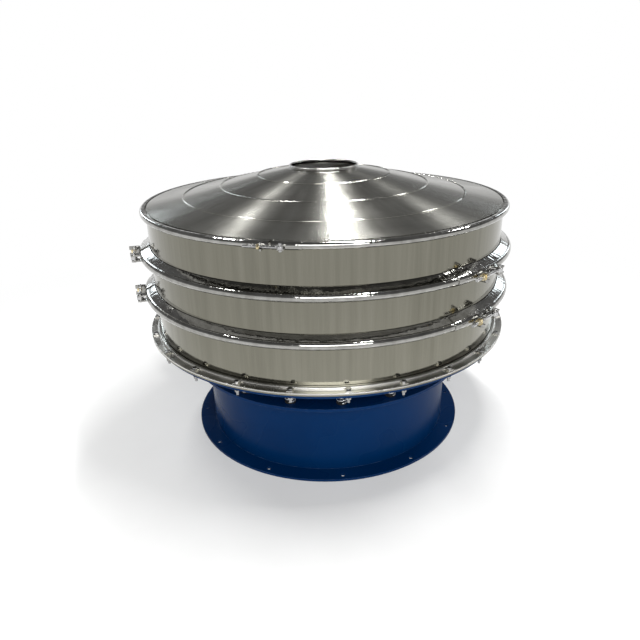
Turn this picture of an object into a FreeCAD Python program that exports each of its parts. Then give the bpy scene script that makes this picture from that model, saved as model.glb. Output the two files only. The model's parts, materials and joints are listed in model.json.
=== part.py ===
import FreeCAD
import Part
import math
import os
import re
import Sketcher
from FreeCAD import Placement, Rotation, Vector

# Round vibrating sieve with two decks.  Millimetres and degrees, +Z up, the machine's axis on Z
# and the floor at z = 0.  Angles about the axis are counted from +X towards +Y.

DIMENSIONS = [
    # alias, value, meaning
    ("fit_gap", 0.3, "gap between pieces that are seated but separate"),
    ("running_gap", 0.05, "radial clearance of pins, shafts and threads"),
    # Base
    ("foot_width", 70, "width of the floor flange outside the drum"),
    ("foot_radius", "=drum_radius + foot_width", "outer radius of the floor flange"),
    ("foot_thickness", 10, "thickness of the floor flange"),
    ("drum_radius", 554, "outer radius of the base drum"),
    ("drum_wall", 8, "wall of the base drum"),
    ("base_height", 338, "height of the spring flange's top face"),
    ("spring_flange_reach", 71, "width of the spring flange outside the drum"),
    ("spring_flange_radius", "=drum_radius + spring_flange_reach",
     "outer radius of the spring flange"),
    ("spring_flange_inset", 34, "width of the spring flange inside the drum"),
    ("spring_flange_bore", "=drum_radius - spring_flange_inset",
     "inner radius of the spring flange"),
    ("spring_flange_thickness", 12, "thickness of the spring flange"),
    ("anchor_count", 12, "floor anchor holes"),
    ("anchor_offset", 43.5, "distance of the anchor holes from the drum"),
    ("anchor_circle_radius", "=drum_radius + anchor_offset", "radius of the anchor hole circle"),
    ("anchor_hole_radius", 9, "radius of an anchor hole"),
    ("anchor_phase", 5.3, "angle of the first anchor hole"),
    ("gland_height", 150, "height of the cable gland's axis"),
    ("gland_angle", 75, "angle of the cable gland about the machine"),
    ("gland_radius", 15, "radius of the gland's hexagon"),
    ("gland_bore", 8, "radius of the gland's cable passage"),
    ("gland_thread_radius", 10, "radius of the gland's thread"),
    ("gland_head_length", 12, "length of the gland's hexagon outside the drum"),
    # Springs
    ("spring_count", 18, "support springs"),
    ("spring_offset", 23, "distance of the springs from the drum"),
    ("spring_circle_radius", "=drum_radius + spring_offset", "radius of the spring circle"),
    ("spring_phase", 15.3, "angle of the first spring"),
    ("coil_radius", 19, "mean radius of a spring's coil"),
    ("wire_radius", 2.75, "radius of the spring wire"),
    ("coil_turns", 10.5, "turns of a spring"),
    ("seat_radius", 22, "radius of a spring seat"),
    ("seat_thickness", 3, "thickness of a spring seat"),
    ("seat_stub_length", 7, "length of the stub inside the spring"),
    ("seat_stub_clearance", 0.5, "radial clearance of the stub in the spring"),
    # Vibrating table
    ("spring_room", 153, "height of the table's top face above the spring flange"),
    ("table_height", "=base_height + spring_room", "height of the table ring's top face"),
    ("table_thickness", 15, "thickness of the table ring"),
    ("table_inset", 11, "distance of the table's edge inside the pressing hoop's edge"),
    ("table_radius", "=hoop_radius - table_inset", "outer radius of the table ring"),
    ("dish_inset", 16, "distance of the dish's edge inside the drum"),
    ("dish_radius", "=drum_radius - dish_inset", "radius where the table's dish meets its ring"),
    ("dish_depth", 83, "depth of the table's dish"),
    ("dish_floor_height", "=table_height - dish_depth", "height of the dish floor's top face"),
    ("dish_slope_width", 208, "width of the dish's sloping wall"),
    ("dish_floor_radius", "=dish_radius - dish_slope_width", "outer radius of the dish floor"),
    ("dish_wall", 12, "plate of the dish"),
    ("motor_opening_gap", 22, "gap between the housing and the dish floor"),
    ("motor_opening_radius", "=motor_radius + motor_opening_gap", "opening in the dish floor"),
    # Motor
    ("motor_radius", 130, "outer radius of the motor housing"),
    ("motor_wall", 12, "wall of the motor housing"),
    ("motor_drop", 178, "length of the housing below the dish floor"),
    ("motor_bottom", "=dish_floor_height - motor_drop", "height of the housing's lower end"),
    ("motor_rise", 62, "length of the housing above the dish floor"),
    ("motor_top", "=dish_floor_height + motor_rise", "height of the housing's upper end"),
    ("motor_flange_width", 75, "width of the motor's flange"),
    ("motor_flange_radius", "=motor_radius + motor_flange_width",
     "outer radius of the motor's flange"),
    ("motor_flange_thickness", 18, "thickness of the motor's flange"),
    ("rib_count", 20, "cooling ribs on the housing"),
    ("rib_depth", 12, "depth of a cooling rib"),
    ("rib_thickness", 4, "thickness of a cooling rib"),
    ("shield_thickness", 22, "thickness of a motor end shield"),
    ("bearing_width", 30, "radial width of a motor bearing"),
    ("bearing_radius", "=shaft_radius + bearing_width", "outer radius of a motor bearing"),
    ("shaft_radius", 25, "radius of the motor shaft"),
    ("shaft_lower_reach", 118, "length of the shaft below the housing"),
    ("shaft_bottom", "=motor_bottom - shaft_lower_reach", "height of the shaft's lower end"),
    ("shaft_upper_reach", 75, "length of the shaft above the housing"),
    ("shaft_top", "=motor_top + shaft_upper_reach", "height of the shaft's upper end"),
    ("winding_width", 56, "distance of the rotor core from the housing's outside"),
    ("rotor_radius", "=motor_radius - winding_width", "outer radius of the rotor core"),
    ("rotor_air_gap", 1, "air gap between rotor and stator"),
    ("core_inset", 55, "distance of the motor cores from the housing's ends"),
    ("core_bottom", "=motor_bottom + core_inset", "height of the lower end of the motor cores"),
    ("core_top", "=motor_top - core_inset", "height of the upper end of the motor cores"),
    ("motor_bolt_count", 8, "bolts of the motor flange"),
    ("motor_bolt_offset", 49, "distance of the motor bolts from the housing"),
    ("motor_bolt_circle", "=motor_radius + motor_bolt_offset", "radius of the motor bolt circle"),
    ("motor_bolt_radius", 8, "radius of a motor bolt"),
    ("motor_bolt_head_radius", 13.5, "circumscribed radius of a motor bolt's head and nut"),
    ("motor_bolt_head_height", 10, "height of a motor bolt's head"),
    ("motor_nut_height", 13, "height of a motor bolt's nut"),
    ("motor_bolt_tail", 11, "thread left below the motor bolt's nut"),
    ("terminal_box_width", 110, "width of the motor's terminal box"),
    ("terminal_box_depth", 56, "depth of the motor's terminal box"),
    ("terminal_box_height", 62, "height of the motor's terminal box"),
    # Eccentric weights
    ("upper_weight_radius", 150, "radius of the upper weight"),
    ("upper_weight_gap", 11, "gap between the upper weight and the end shield"),
    ("upper_weight_height", "=motor_top + shield_thickness + upper_weight_gap",
     "height of the upper weight's lower face"),
    ("upper_weight_thickness", 32, "thickness of the upper weight"),
    ("lower_weight_radius", 168, "radius of the lower weights"),
    ("lower_weight_gap", 48, "distance of the fixed lower weight's underside from the end shield"),
    ("lower_weight_height", "=motor_bottom - shield_thickness - lower_weight_gap",
     "height of the fixed lower weight's lower face"),
    ("lower_weight_thickness", 30, "thickness of the fixed lower weight"),
    ("phase_weight_thickness", 28, "thickness of the adjustable lower weight"),
    ("hub_wall", 21, "wall of a weight's hub"),
    ("weight_hub_radius", "=shaft_radius + hub_wall", "radius of a weight's hub"),
    ("weight_sector", 150, "angle of a weight's sector"),
    # Sieve frames
    ("shell_radius", 747, "outer radius of the sieve frames"),
    ("shell_wall", 3, "wall of the sieve frames"),
    ("frame_flange_width", 31, "width of the clamped frame flanges"),
    ("frame_flange_radius", "=shell_radius + frame_flange_width",
     "outer radius of the clamped frame flanges"),
    ("frame_flange_thickness", 4, "thickness of the clamped frame flanges"),
    ("lower_frame_height", 186, "height of the lower joint above the table"),
    ("lower_joint_height", "=table_height + lower_frame_height",
     "height of the lower clamped joint"),
    ("middle_frame_height", 170, "height of the upper joint above the lower one"),
    ("upper_joint_height", "=lower_joint_height + middle_frame_height",
     "height of the upper clamped joint"),
    ("joint_half_gap", 6, "half the distance between two clamped flanges"),
    ("bottom_flange_thickness", 5, "thickness of the lower frame's bolted flange"),
    ("upper_frame_height", 167.5, "height of the cover joint above the upper one"),
    ("rim_height", "=upper_joint_height + upper_frame_height", "height of the cover joint"),
    ("rim_width", 15, "width of the cover joint's flanges"),
    ("rim_radius", "=shell_radius + rim_width", "outer radius of the cover joint's flanges"),
    ("rim_flange_thickness", 3.5, "thickness of the flanges of the cover joint"),
    ("rim_half_gap", 1.5, "half the thickness of the cover seal"),
    # Bottom dome
    ("dome_rise", 74, "height of the dome's crown above its edge"),
    ("dome_centre_height", "=dome_edge_height + dome_rise", "height of the bottom dome's crown"),
    ("dome_crown_radius", 160, "radius of the dome's flat crown"),
    ("dome_edge_rise", 11, "height of the dome's edge above the table"),
    ("dome_edge_height", "=table_height + dome_edge_rise", "height of the dome's edge"),
    ("dome_wall", 3, "plate of the bottom dome"),
    # Spouts
    ("spout_length", 183, "length of the spouts outside the frames"),
    ("spout_reach", "=shell_radius + spout_length", "radius of the spouts' mouths"),
    ("spout_width", 260, "outer width of a spout"),
    ("spout_wall", 3, "wall of a spout"),
    ("spout_overrun", 45, "length of a spout's duct inside the shell before it is trimmed"),
    ("spout_lip", 14, "height of the flange round a spout's mouth"),
    ("spout_lip_thickness", 5, "thickness of the flange round a spout's mouth"),
    ("upper_spout_angle", 95.3, "angle of the upper spout"),
    ("middle_spout_angle", 50.3, "angle of the middle spout"),
    ("lower_spout_angle", 140.3, "angle of the lower spout"),
    ("upper_spout_rise", 39, "height of the upper spout above its joint"),
    ("upper_spout_bottom", "=upper_joint_height + upper_spout_rise",
     "height of the upper spout's underside"),
    ("upper_spout_height", 98, "height of the upper spout"),
    ("upper_spout_top", "=upper_spout_bottom + upper_spout_height",
     "height of the upper spout's top"),
    ("middle_spout_rise", 47, "height of the middle spout above its joint"),
    ("middle_spout_bottom", "=lower_joint_height + middle_spout_rise",
     "height of the middle spout's underside"),
    ("middle_spout_height", 82, "height of the middle spout"),
    ("middle_spout_top", "=middle_spout_bottom + middle_spout_height",
     "height of the middle spout's top"),
    ("lower_spout_rise", 39, "height of the lower spout above the table"),
    ("lower_spout_bottom", "=table_height + lower_spout_rise",
     "height of the lower spout's underside"),
    ("lower_spout_height", 104, "height of the lower spout"),
    ("lower_spout_top", "=lower_spout_bottom + lower_spout_height",
     "height of the lower spout's top"),
    # Bolted flange under the frames
    ("hoop_gap", 2, "gap between the pressing hoop and the frames"),
    ("hoop_bore", "=shell_radius + hoop_gap", "inner radius of the pressing hoop"),
    ("hoop_rib_width", 13, "width of the raised rib at the pressing hoop's bore"),
    ("hoop_rib_height", 9, "height of the raised rib above the hoop's flat"),
    ("hoop_rib_round", 6, "rounded upper edge of the raised rib"),
    ("hoop_reach", 42, "width of the flange outside the frames"),
    ("hoop_radius", "=shell_radius + hoop_reach", "outer radius of the pressing hoop"),
    ("hoop_thickness", 6, "thickness of the pressing hoop"),
    ("hoop_edge_radius", 2, "rounded upper edge of the pressing hoop"),
    ("flange_bolt_count", 24, "bolts round the table"),
    ("flange_bolt_inset", 17, "distance of the flange bolts inside the hoop's edge"),
    ("flange_bolt_circle", "=hoop_radius - flange_bolt_inset",
     "radius of the flange bolt circle"),
    ("flange_bolt_radius", 5, "radius of a flange bolt"),
    ("flange_bolt_tail", 12, "thread left below the flange nut"),
    ("flange_head_radius", 9.5, "circumscribed radius of a flange bolt's head and nut"),
    ("flange_head_height", 6.5, "height of a flange bolt's head"),
    ("flange_nut_height", 8, "height of a flange nut"),
    ("bolt_phase", 5.3, "angle of the first flange bolt"),
    ("clip_width", 24, "width of a flange clip"),
    ("clip_inner_length", 8.5, "length of a clip inside its bolt"),
    ("clip_inner_radius", "=flange_bolt_circle - clip_inner_length",
     "radius of a clip's inner end"),
    ("clip_outer_length", 12, "length of a clip outside its bolt"),
    ("clip_outer_radius", "=flange_bolt_circle + clip_outer_length",
     "radius of a clip's outer end"),
    ("clip_thickness", 4, "thickness of a flange clip"),
    # Screens
    ("screen_plate", 3, "thickness of the screen ring's lip"),
    ("screen_lip_inset", 2, "distance of the screen's lip inside the flanges"),
    ("screen_lip_radius", "=frame_flange_radius - screen_lip_inset",
     "outer radius of the screen ring's lip"),
    ("screen_hoop_inset", 35, "distance of the screen's hoop inside the frames"),
    ("screen_hoop_radius", "=shell_radius - screen_hoop_inset",
     "outer radius of the screen ring's hoop"),
    ("screen_drop", 22, "depth of the screen ring's hoop"),
    ("mesh_thickness", 0.8, "thickness of the screen cloth with its backing"),
    ("seal_inset", 1.5, "distance of the screen seals from the frames"),
    ("seal_bore", "=shell_radius + seal_inset", "inner radius of the screen seals"),
    ("seal_overhang", 2, "overhang of the screen seals over the flanges"),
    ("seal_radius", "=frame_flange_radius + seal_overhang", "outer radius of the screen seals"),
    # Clamp bands
    ("nose_thickness", 6, "thickness of a band at its nose"),
    ("band_nose_radius", "=band_groove_radius + nose_thickness",
     "outer radius of the clamp bands"),
    ("lip_gap", 2, "distance of the bands' and the hoop's lips from the frames"),
    ("band_bore", "=shell_radius + lip_gap", "radius of the clamp bands' lips"),
    ("band_half_height", 29.5, "half height of a clamp band at its lips"),
    ("band_wall", 4, "plate of a clamp band"),
    ("groove_gap", 7.5, "gap between the flanges and the groove's bottom"),
    ("band_groove_radius", "=frame_flange_radius + groove_gap",
     "radius of the bottom of a clamp band's groove"),
    ("band_shoulder_radius", "=frame_flange_radius",
     "radius where a band's shoulder turns into its nose"),
    ("band_shoulder_half_height", 15, "half height of a band at its shoulder"),
    ("band_segments", 3, "segments of a clamp band"),
    ("closure_phase", -43.5, "angle of the first band closure"),
    ("band_end_gap", 6, "distance between two band ends"),
    # Closures of the bands
    ("swing_line_offset", 20.5, "distance of a swing bolt's line from the band's nose"),
    ("swing_line_radius", "=band_nose_radius + swing_line_offset",
     "distance of a swing bolt's line from the machine axis"),
    ("swing_pin_offset", 55, "distance of the hinge pin from the closure's middle"),
    ("swing_bolt_radius", 6, "radius of a swing bolt's shank"),
    ("swing_bolt_length", 160, "length of a swing bolt from its pin to its end"),
    ("eye_radius", 13, "radius of a swing bolt's eye"),
    ("eye_height", 15, "height of a swing bolt's eye"),
    ("swing_pin_radius", 5, "radius of a hinge pin"),
    ("lug_overhang", 26, "length of the lugs beyond the swing bolt's line"),
    ("lug_reach", "=swing_line_radius + lug_overhang", "radius of the lugs' outer edges"),
    ("lug_half_height", 20, "half height of the slotted lug"),
    ("lug_thickness", 10, "thickness of the slotted lug"),
    ("lug_offset", 44, "distance of the slotted lug's face from the closure's middle"),
    ("slot_clearance", 1, "clearance of a swing bolt in its slot"),
    ("clevis_thickness", 6, "thickness of a clevis plate"),
    ("clevis_width", 34, "width of a clevis plate"),
    ("pin_head_radius", 8, "radius of a hinge pin's head"),
    ("pin_head_height", 4, "height of a hinge pin's head"),
    ("nut_radius", 11.5, "circumscribed radius of a clamp nut"),
    ("nut_height", 10, "height of a clamp nut"),
    ("washer_radius", 13, "radius of a clamp washer"),
    ("washer_thickness", 3, "thickness of a clamp washer"),
    ("sleeve_thickness", 3, "thickness of the doubling sleeve on a band's end"),
    ("sleeve_angle", 11.5, "angle of the doubling sleeve on a band's end"),
    # Cover
    ("cover_plate", 3, "plate of the cover"),
    ("cover_edge_inset", 5, "distance of the cover's edge inside the frames"),
    ("cover_edge_radius", "=shell_radius - cover_edge_inset", "radius of the cover's outer edge"),
    ("cover_edge_rise", 12.5, "height of the cover's edge above its joint"),
    ("cover_edge_height", "=rim_height + cover_edge_rise", "height of the cover's outer edge"),
    ("outer_cone_width", 149, "width of the cover's outer cone"),
    ("outer_bead_radius", "=cover_edge_radius - outer_cone_width", "radius of the outer bead"),
    ("outer_cone_rise", 26, "rise of the cover's outer cone"),
    ("outer_bead_height", "=cover_edge_height + outer_cone_rise",
     "height of the cover at the outer bead"),
    ("second_cone_width", 156, "width of the cover's second cone"),
    ("middle_bead_radius", "=outer_bead_radius - second_cone_width", "radius of the middle bead"),
    ("second_cone_rise", 34, "rise of the cover's second cone"),
    ("middle_bead_height", "=outer_bead_height + second_cone_rise",
     "height of the cover at the middle bead"),
    ("third_cone_width", 159, "width of the cover's third cone"),
    ("inner_bead_radius", "=middle_bead_radius - third_cone_width", "radius of the inner bead"),
    ("third_cone_rise", 37, "rise of the cover's third cone"),
    ("inner_bead_height", "=middle_bead_height + third_cone_rise",
     "height of the cover at the inner bead"),
    ("bead_size", 4, "radius of a bead"),
    ("bead_sink", 1, "depth of a bead's centre below its crease"),
    ("collar_foot_width", 15, "width of the collar's foot"),
    ("collar_foot_radius", "=inlet_bore_radius + collar_foot_width",
     "radius of the cover at the inlet collar"),
    ("inner_cone_rise", 23, "rise of the cover's inner cone"),
    ("collar_foot_height", "=inner_bead_height + inner_cone_rise",
     "height of the cover at the inlet collar"),
    ("inlet_bore_radius", 138, "bore of the inlet collar"),
    ("inlet_wall", 4, "wall of the inlet collar"),
    ("inlet_height", 15, "height of the inlet collar"),
    ("inlet_top", "=collar_foot_height + inlet_height", "height of the inlet collar's lip"),
    ("inlet_lip_radius", 4.5, "radius of the inlet's rolled lip"),
    # Hoop of the cover
    ("cover_hoop_depth", 8, "distance of the hoop's nose from the cover joint's flanges"),
    ("cover_hoop_radius", "=rim_radius + cover_hoop_depth", "outer radius of the cover hoop"),
    ("cover_hoop_bore", "=shell_radius + lip_gap", "radius of the cover hoop's lips"),
    ("cover_hoop_half_height", 11.5, "half height of the cover hoop at its lips"),
    ("cover_hoop_back_depth", 12, "depth of the hoop's round back"),
    ("cover_hoop_back_radius", "=cover_hoop_radius - cover_hoop_back_depth",
     "radius where the cover hoop's round back begins"),
    ("cover_hoop_back_half", 12.3, "half height of the cover hoop's round back"),
    ("cover_hoop_wall", 3.5, "plate of the cover hoop"),
    ("cover_sleeve_thickness", 2, "thickness of the doubling sleeves on the hoop's ends"),
    ("lug_sleeve_length", 86, "length of the doubling sleeve on the hoop's lug end"),
    ("clevis_sleeve_length", 98, "length of the doubling sleeve on the hoop's clevis end"),
    ("cover_closure_angle", -103, "angle of the cover hoop's closure"),
    ("cover_end_gap", 8, "distance between the hoop's ends"),
    ("cover_swing_offset", 13, "distance of the cover bolt's line from the hoop's nose"),
    ("cover_swing_line", "=cover_hoop_radius + cover_swing_offset",
     "distance of the cover bolt's line from the machine axis"),
    ("cover_swing_radius", 4, "radius of the cover bolt"),
    ("cover_swing_length", 124, "length of the cover bolt from its pin to its end"),
    ("cover_pin_offset", 38, "distance of the cover's hinge pin from the closure's middle"),
    ("cover_pin_radius", 3.5, "radius of the cover's hinge pin"),
    ("cover_eye_radius", 9, "radius of the cover bolt's eye"),
    ("cover_eye_height", 10, "height of the cover bolt's eye"),
    ("cover_lug_overhang", 16, "length of the cover lugs beyond the bolt's line"),
    ("cover_lug_reach", "=cover_swing_line + cover_lug_overhang",
     "radius of the cover lugs' outer edges"),
    ("cover_lug_half_height", 12, "half height of the cover's slotted lug"),
    ("cover_lug_thickness", 7, "thickness of the cover's slotted lug"),
    ("cover_lug_offset", 22, "distance of the cover's slotted lug from the closure's middle"),
    ("cover_clevis_thickness", 4, "thickness of a cover clevis plate"),
    ("cover_clevis_width", 22, "width of a cover clevis plate"),
    ("cover_nut_radius", 8.5, "circumscribed radius of the cover nut"),
    ("cover_nut_height", 8, "height of the cover nut"),
    ("cover_pin_head_radius", 5.6, "radius of the cover hinge pin's heads"),
    ("cover_washer_radius", 9.8, "radius of the cover washer"),
    ("cover_washer_thickness", 2, "thickness of the cover washer"),
]

TURN = 360
ALIASES = {alias for alias, value, meaning in DIMENSIONS}
WORD = re.compile(r"[a-z][a-z_0-9]*")
Z_AXIS = Vector(0, 0, 1)

doc = FreeCAD.newDocument("vibrating_sieve")
sheet = doc.addObject("Spreadsheet::Sheet", "Dims")
for row, (alias, value, meaning) in enumerate(DIMENSIONS, 1):
    sheet.set(f"A{row}", alias)
    sheet.setAlias(f"B{row}", alias)
    sheet.set(f"C{row}", meaning)
for row, (alias, value, meaning) in enumerate(DIMENSIONS, 1):
    sheet.set(f"B{row}", str(value))
doc.recompute()

nodes = []


# ---------------------------------------------------------------- expressions

def bound(text):
    """The expression with every dimension's name pointed at the sheet."""
    return WORD.sub(lambda m: f"Dims.{m.group()}" if m.group() in ALIASES else m.group(), text)


def number(text):
    """The value of an expression in the dimensions."""
    return float(sheet.evalExpression(text))


def bind(item, **sizes):
    """Bind properties of an object to expressions."""
    for name, text in sizes.items():
        item.setExpression(name.replace("__", "."), bound(text))
    return item


def keep(item, label):
    """Mark an object as a finished piece under its own name."""
    item.Label = label
    nodes.append(item)
    return item


def turned(item, angle):
    """Turn an object about the machine's axis."""
    item.Placement = Placement(Vector(), Rotation(Z_AXIS, number(angle)))
    return bind(item, Placement__Rotation__Angle=angle)


# ---------------------------------------------------------------- sketches and bodies

def new_body(name):
    return doc.addObject("PartDesign::Body", name)


def sketch_on(body, role):
    """An empty sketch on one of the body's own origin planes."""
    plane = next(item for item in body.Origin.OriginFeatures if item.Role == role)
    sketch = body.newObject("Sketcher::SketchObject", body.Name + "_outline")
    sketch.AttachmentSupport = (plane, [""])
    sketch.MapMode = "FlatFace"
    return sketch


def arc_between(start, end, radius):
    """Minor arc from start to end; a positive radius bulges to the right of the way."""
    chord = end - start
    middle = start + chord * 0.5
    rise = math.sqrt(radius * radius - chord.Length * chord.Length / 4)
    side = Vector(-chord.y, chord.x, 0).normalize() * math.copysign(rise, radius)
    centre = middle + side
    circle = Part.Circle(centre, Z_AXIS, abs(radius))
    first, last = (start, end) if radius > 0 else (end, start)
    angles = [math.atan2(point.y - centre.y, point.x - centre.x) for point in (first, last)]
    return Part.ArcOfCircle(circle, angles[0], angles[1])


def fix_point(sketch, curve, end, corner):
    """Hold one point of a curve at the corner's two expressions."""
    for kind, text, axis in (("DistanceX", corner[0], -2), ("DistanceY", corner[1], -1)):
        if text == "0":
            sketch.addConstraint(Sketcher.Constraint("PointOnObject", curve, end, axis))
            continue
        rule = sketch.addConstraint(Sketcher.Constraint(kind, -1, 1, curve, end, number(text)))
        sketch.setExpression(f"Constraints[{rule}]", bound(text))


def draw(sketch, corners):
    """Closed outline through (x, y) corners; a third entry curves the run to the next corner."""
    spots = [Vector(number(corner[0]), number(corner[1]), 0) for corner in corners]
    ends = []
    for index, corner in enumerate(corners):
        start, end = spots[index], spots[(index + 1) % len(spots)]
        if len(corner) == 2:
            curve = sketch.addGeometry(Part.LineSegment(start, end))
            ends.append((curve, 1, 2))
            continue
        radius = number(corner[2])
        curve = sketch.addGeometry(arc_between(start, end, radius))
        ends.append((curve, 1, 2) if radius > 0 else (curve, 2, 1))
        rule = sketch.addConstraint(Sketcher.Constraint("Radius", curve, abs(radius)))
        sketch.setExpression(f"Constraints[{rule}]", bound(f"abs({corner[2]})"))
    for index, (curve, first, last) in enumerate(ends):
        following, begin, end = ends[(index + 1) % len(ends)]
        sketch.addConstraint(Sketcher.Constraint("Coincident", curve, last, following, begin))
        fix_point(sketch, curve, first, corners[index])


def revolve(name, corners, angle=None):
    """Body turned about the machine's axis; a part turn lies evenly about +X."""
    body = new_body(name)
    sketch = sketch_on(body, "XZ_Plane")
    draw(sketch, corners)
    turn = body.newObject("PartDesign::Revolution", name + "_turn")
    turn.Profile = sketch
    turn.ReferenceAxis = (sketch, ["V_Axis"])
    turn.Angle = TURN
    if angle:
        turn.Midplane = True
        bind(turn, Angle=angle)
    return body


def slab(name, corners, width):
    """Body with an outline in the XZ plane, padded evenly to both sides of it."""
    body = new_body(name)
    sketch = sketch_on(body, "XZ_Plane")
    draw(sketch, corners)
    pad = body.newObject("PartDesign::Pad", name + "_pad")
    pad.Profile = sketch
    pad.SideType = "Symmetric"
    bind(pad, Length=width)
    return body


def drill(body, count, circle, radius, top, depth):
    """Ring of holes in a body, the first one on +X, cut downwards from a height."""
    sketch = sketch_on(body, "XY_Plane")
    sketch.AttachmentOffset = Placement(Vector(0, 0, number(top)), Rotation())
    bind(sketch, AttachmentOffset__Base__z=top)
    centre = Vector(number(circle), 0, 0)
    hole = sketch.addGeometry(Part.Circle(centre, Z_AXIS, number(radius)))
    sketch.addConstraint(Sketcher.Constraint("PointOnObject", hole, 3, -1))
    place = sketch.addConstraint(Sketcher.Constraint("DistanceX", -1, 1, hole, 3, centre.x))
    size = sketch.addConstraint(Sketcher.Constraint("Radius", hole, number(radius)))
    sketch.setExpression(f"Constraints[{place}]", bound(circle))
    sketch.setExpression(f"Constraints[{size}]", bound(radius))
    pocket = body.newObject("PartDesign::Pocket", sketch.Name + "_hole")
    pocket.Profile = sketch
    bind(pocket, Length=depth)
    pattern = body.newObject("PartDesign::PolarPattern", sketch.Name + "_ring")
    pattern.Originals = [pocket]
    pattern.Axis = (sketch, ["N_Axis"])
    pattern.Angle = TURN
    bind(pattern, Occurrences=count)
    body.Tip = pattern
    return body


# ---------------------------------------------------------------- solids and booleans

def cylinder(name, radius, height, base=Vector(), rotation=Rotation()):
    item = doc.addObject("Part::Cylinder", name)
    item.Placement = Placement(base, rotation)
    return bind(item, Radius=radius, Height=height)


def hexagon(name, radius, height, base=Vector(), rotation=Rotation()):
    item = doc.addObject("Part::Prism", name)
    item.Polygon = 6
    item.Placement = Placement(base, rotation)
    return bind(item, Circumradius=radius, Height=height)


def block(name, length, width, height, base):
    item = doc.addObject("Part::Box", name)
    item.Placement = Placement(base, Rotation())
    return bind(item, Length=length, Width=width, Height=height)


def fuse(name, shapes):
    item = doc.addObject("Part::MultiFuse", name)
    item.Shapes = shapes
    return item


def cut(name, base, tool):
    item = doc.addObject("Part::Cut", name)
    item.Base = base
    item.Tool = tool
    return item


def copies(label, source, placements):
    """One node of equal solids: the source piece at every placement."""
    doc.recompute()
    item = doc.addObject("Part::Feature", label + "_set")
    solids = []
    for placement in placements:
        solid = source.Shape.copy()
        solid.Placement = placement.multiply(solid.Placement)
        solids.append(solid)
    item.Shape = Part.makeCompound(solids)
    return keep(item, label)


def ring_places(count, circle, phase, height="0"):
    """Placements round the machine's axis, each turned to face outwards."""
    total = int(number(count))
    out = Vector(number(circle), 0, number(height))
    turns = [Rotation(Z_AXIS, number(phase) + TURN * index / total) for index in range(total)]
    return [Placement(turn.multVec(out), turn) for turn in turns]


# ---------------------------------------------------------------- base

def base_pieces():
    drum = revolve("base_drum_body", [
        ("drum_radius - drum_wall", "0"),
        ("foot_radius", "0"),
        ("foot_radius", "foot_thickness"),
        ("drum_radius", "foot_thickness"),
        ("drum_radius", "base_height - spring_flange_thickness"),
        ("drum_radius - drum_wall", "base_height - spring_flange_thickness"),
    ])
    drill(drum, "anchor_count", "anchor_circle_radius", "anchor_hole_radius",
          "foot_thickness", "foot_thickness")
    turned(drum, "anchor_phase")
    inward = Rotation(Z_AXIS, number("gland_angle")).multiply(Rotation(Vector(0, 1, 0), -90))
    outside = number("drum_radius + gland_head_length")
    start = Rotation(Z_AXIS, number("gland_angle")).multVec(Vector(outside, 0, 0))
    start.z = number("gland_height")
    hole = cylinder("gland_hole", "gland_thread_radius", "drum_wall + 2 * gland_head_length",
                    start, inward)
    keep(cut("base_drum_cut", drum, hole), "base_drum")

    head = hexagon("gland_head", "gland_radius", "gland_head_length - fit_gap", start, inward)
    thread = cylinder("gland_thread", "gland_thread_radius - running_gap",
                      "drum_wall + 2 * gland_head_length", start, inward)
    bore = cylinder("gland_passage", "gland_bore", "drum_wall + 3 * gland_head_length",
                    start, inward)
    keep(cut("gland_cut", fuse("gland_solid", [head, thread]), bore), "cable_gland")

    keep(revolve("spring_flange_body", [
        ("spring_flange_bore", "base_height - spring_flange_thickness"),
        ("spring_flange_radius", "base_height - spring_flange_thickness"),
        ("spring_flange_radius", "base_height"),
        ("spring_flange_bore", "base_height"),
    ]), "base_spring_flange")


# ---------------------------------------------------------------- springs

def spring_seat():
    """Seat disc with a stub, its face on z = 0 and the stub pointing up."""
    disc = cylinder("seat_disc", "seat_radius", "seat_thickness")
    stub = cylinder("seat_stub", "coil_radius - wire_radius - seat_stub_clearance",
                    "seat_thickness + seat_stub_length")
    return fuse("seat_solid", [disc, stub])


def support_spring():
    """Closed-end compression spring standing on z = 0."""
    free_height = number("table_height - table_thickness - base_height - 2 * seat_thickness")
    wire = number("wire_radius")
    rise = free_height - 2 * wire
    path = Part.makeHelix(rise / number("coil_turns"), rise, number("coil_radius"))
    section = Part.Wire(Part.makeCircle(wire, Vector(number("coil_radius"), 0, 0), Vector(0, 1, 0)))
    item = doc.addObject("Part::Feature", "spring_solid")
    item.Shape = Part.Wire(path).makePipeShell([section], True, True)
    item.Placement = Placement(Vector(0, 0, wire), Rotation())
    return item


def spring_pieces():
    places = ("spring_count", "spring_circle_radius", "spring_phase")
    seat = spring_seat()
    copies("lower_spring_seats", seat, ring_places(*places, "base_height"))
    upside_down = Placement(Vector(), Rotation(Vector(1, 0, 0), 180))
    tops = [place.multiply(upside_down)
            for place in ring_places(*places, "table_height - table_thickness")]
    copies("upper_spring_seats", seat, tops)
    copies("support_springs", support_spring(), ring_places(*places, "base_height + seat_thickness"))


# ---------------------------------------------------------------- vibrating table

def table_pieces():
    table = revolve("table_body", [
        ("table_radius", "table_height - table_thickness"),
        ("table_radius", "table_height"),
        ("dish_radius", "table_height"),
        ("dish_floor_radius", "dish_floor_height"),
        ("motor_opening_radius", "dish_floor_height"),
        ("motor_opening_radius", "dish_floor_height - dish_wall"),
        ("dish_floor_radius + dish_wall / 2", "dish_floor_height - dish_wall"),
        ("dish_radius + dish_wall / 2", "table_height - table_thickness"),
    ])
    drill(table, "flange_bolt_count", "flange_bolt_circle", "flange_bolt_radius + fit_gap",
          "table_height", "table_thickness")
    drill(table, "motor_bolt_count", "motor_bolt_circle", "motor_bolt_radius + fit_gap",
          "dish_floor_height", "dish_wall")
    keep(turned(table, "bolt_phase"), "vibrating_table")


# ---------------------------------------------------------------- motor

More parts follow.
